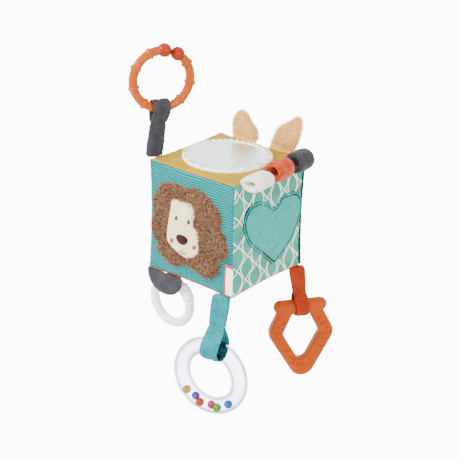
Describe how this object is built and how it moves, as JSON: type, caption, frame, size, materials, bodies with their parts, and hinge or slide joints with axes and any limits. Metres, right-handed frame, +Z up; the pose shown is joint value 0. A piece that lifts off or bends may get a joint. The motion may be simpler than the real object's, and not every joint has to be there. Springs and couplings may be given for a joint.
{
  "type": "baby activity cube",
  "caption": "Soft hanging activity cube with a mirror, animal patches, ears, tag loops, a snap ring above and a rattle ring, a teether and a teething ring below.",
  "frame": {"origin": "centre of the cube's flat underside", "axes": "+Z up through the top face with the mirror; -Y out of the face with the lion; +X out of the face with the heart"},
  "size_m": [0.1297, 0.1401, 0.3139],
  "materials": {
    "corduroy": "ribbed turquoise corduroy",
    "yellow_velour": "short-pile yellow velour",
    "coral_velour": "short-pile coral velour",
    "print_green": "smooth cotton with a pale ogee print",
    "print_dots": "smooth off-white cotton with small dots",
    "core_foam": "polyester wadding",
    "mirror": "silvered plastic",
    "frame_print": "white satin with a printed dashed border",
    "mane_plush": "curly brown plush",
    "face_velour": "cream velour",
    "nose_velour": "dark brown padded velour",
    "thread_dark": "dark embroidery",
    "thread_orange": "orange-red embroidery",
    "heart_plush": "light turquoise plush",
    "ear_plush": "peach long-pile plush",
    "foil": "crinkle film",
    "capsule": "moulded plastic",
    "label": "white woven label with an orange border",
    "white_cotton": "white terry tape",
    "coral_tape": "coral velour tape",
    "grey_tape": "dark grey velour",
    "turquoise_tape": "turquoise velour tape",
    "snap_plastic": "translucent orange plastic",
    "clear_plastic": "clear plastic",
    "bead_yellow": "gloss",
    "bead_purple": "gloss",
    "bead_orange": "gloss",
    "bead_pink": "gloss",
    "bead_green": "gloss",
    "bead_blue": "gloss",
    "teether_rubber": "soft matt orange",
    "ring_silicone": "milky white"
  },
  "bodies": {
    "cube": {"foam_core": "core_foam", "top_panel": "yellow_velour", "front_panel": "corduroy", "right_panel": "print_green", "back_panel": "coral_velour", "left_panel": "print_dots", "bottom_panel": "coral_velour", "mirror_backing_pad": "core_foam", "mirror_disc": "mirror", "mirror_frame": "frame_print", "lion_mane": "mane_plush", "lion_face": "face_velour", "lion_nose": "nose_velour", "lion_eyes": "thread_dark", "lion_cheeks": "thread_orange", "lion_mouth": "thread_dark", "heart_patch": "heart_plush", "back_head_patch": "ear_plush", "back_muzzle": "face_velour", "back_nose": "nose_velour", "back_eyes": "thread_dark", "crinkle_foil": "foil", "rattle_capsule_lower": "capsule", "rattle_capsule_upper": "capsule", "squeaker_base": "capsule"},
    "pellets": {"rattle_pellets": "capsule"},
    "squeaker": {"squeaker_bellows": "capsule"},
    "label": {"label_tag": "label"},
    "left_ear": {"ear_left": "ear_plush"},
    "right_ear": {"ear_right": "ear_plush"},
    "white_loop": {"tag_loop_white": "white_cotton"},
    "coral_loop": {"tag_loop_coral": "coral_tape"},
    "grey_loop": {"tag_loop_grey": "grey_tape"},
    "snap_strap": {"hang_strap": "grey_tape"},
    "snap_ring": {"hang_ring": "snap_plastic"},
    "rattle_tape": {"rattle_strap": "turquoise_tape"},
    "rattle": {"rattle_ring_front_shell": "clear_plastic", "rattle_ring_rear_shell": "clear_plastic"},
    "beads": {"bead_yellow": "bead_yellow", "bead_purple": "bead_purple", "bead_orange": "bead_orange", "bead_pink": "bead_pink", "bead_green": "bead_green", "bead_blue": "bead_blue"},
    "teether_tape": {"teether_strap": "coral_tape"},
    "drop_teether": {"teether": "teether_rubber"},
    "pad": {"grey_pad": "grey_tape", "ring_tape": "grey_tape"},
    "teething": {"teething_ring": "ring_silicone"}
  },
  "joints": [
    {"name": "pellets_rattle", "type": "slide", "parent": "cube", "child": "pellets", "axis": [0, 0, 1], "range_m": [0, 0.008]},
    {"name": "squeaker_press", "type": "slide", "parent": "cube", "child": "squeaker", "axis": [0, 1, 0], "range_m": [0, 0.004], "stiffness_N_per_m": 400},
    {"name": "label_lift", "type": "hinge", "parent": "cube", "child": "label", "pos_m": [0.0481, -0.0486, 0.0175], "axis": [0, 0, 1], "range_deg": [0, 120], "stiffness_Nm_per_rad": 0.0005},
    {"name": "left_ear_bend", "type": "hinge", "parent": "cube", "child": "left_ear", "pos_m": [-0.0181, 0.0481, 0.1026], "axis": [1, 0, 0], "range_deg": [-70, 50], "stiffness_Nm_per_rad": 0.01},
    {"name": "right_ear_bend", "type": "hinge", "parent": "cube", "child": "right_ear", "pos_m": [0.0196, 0.0481, 0.1026], "axis": [1, 0, 0], "range_deg": [-70, 50], "stiffness_Nm_per_rad": 0.01},
    {"name": "white_loop_bend", "type": "hinge", "parent": "cube", "child": "white_loop", "pos_m": [0.0481, -0.027, 0.1026], "axis": [0, 1, 0], "range_deg": [-35, 35], "stiffness_Nm_per_rad": 0.006},
    {"name": "coral_loop_bend", "type": "hinge", "parent": "cube", "child": "coral_loop", "pos_m": [0.0481, 0.002, 0.1026], "axis": [0, 1, 0], "range_deg": [-35, 35], "stiffness_Nm_per_rad": 0.006},
    {"name": "grey_loop_bend", "type": "hinge", "parent": "cube", "child": "grey_loop", "pos_m": [0.0481, 0.03, 0.1026], "axis": [0, 1, 0], "range_deg": [-35, 35], "stiffness_Nm_per_rad": 0.006},
    {"name": "snap_strap_swing", "type": "hinge", "parent": "cube", "child": "snap_strap", "pos_m": [-0.0475, -0.041, 0.104], "axis": [0.5, 0.866, 0], "range_deg": [-110, 70]},
    {"name": "snap_ring_swing", "type": "hinge", "parent": "snap_strap", "child": "snap_ring", "pos_m": [-0.04412, -0.03515, 0.1445], "axis": [-0.5, -0.866, 0], "range_deg": [-100, 100]},
    {"name": "rattle_tape_swing", "type": "hinge", "parent": "cube", "child": "rattle_tape", "pos_m": [0.036, -0.0481, -0.0006], "axis": [0.9848, 0.1736, 0], "range_deg": [-125, 25]},
    {"name": "rattle_ring_swing", "type": "hinge", "parent": "rattle_tape", "child": "rattle", "pos_m": [0.02812, -0.04949, -0.0491], "axis": [-0.9848, -0.1736, 0], "range_deg": [-90, 90]},
    {"name": "beads_run", "type": "hinge", "parent": "rattle", "child": "beads", "pos_m": [0.02812, -0.04949, -0.0776], "axis": [0.1736, -0.9848, 0], "continuous": true},
    {"name": "teether_tape_swing", "type": "hinge", "parent": "cube", "child": "teether_tape", "pos_m": [0.044, 0.044, -0.0029], "axis": [0.5736, 0.8192, 0], "range_deg": [-70, 75]},
    {"name": "teether_swing", "type": "hinge", "parent": "teether_tape", "child": "drop_teether", "pos_m": [0.04813, 0.0499, -0.04], "axis": [-0.5736, -0.8192, 0], "range_deg": [-110, 110]},
    {"name": "pad_lift", "type": "hinge", "parent": "cube", "child": "pad", "pos_m": [-0.027, -0.0481, -0.0006], "axis": [1, 0, 0], "range_deg": [-100, 0]},
    {"name": "teething_ring_swing", "type": "hinge", "parent": "pad", "child": "teething", "pos_m": [-0.0251, -0.04, -0.0067], "axis": [1, 0, 0], "range_deg": [-8, 90]}
  ]
}
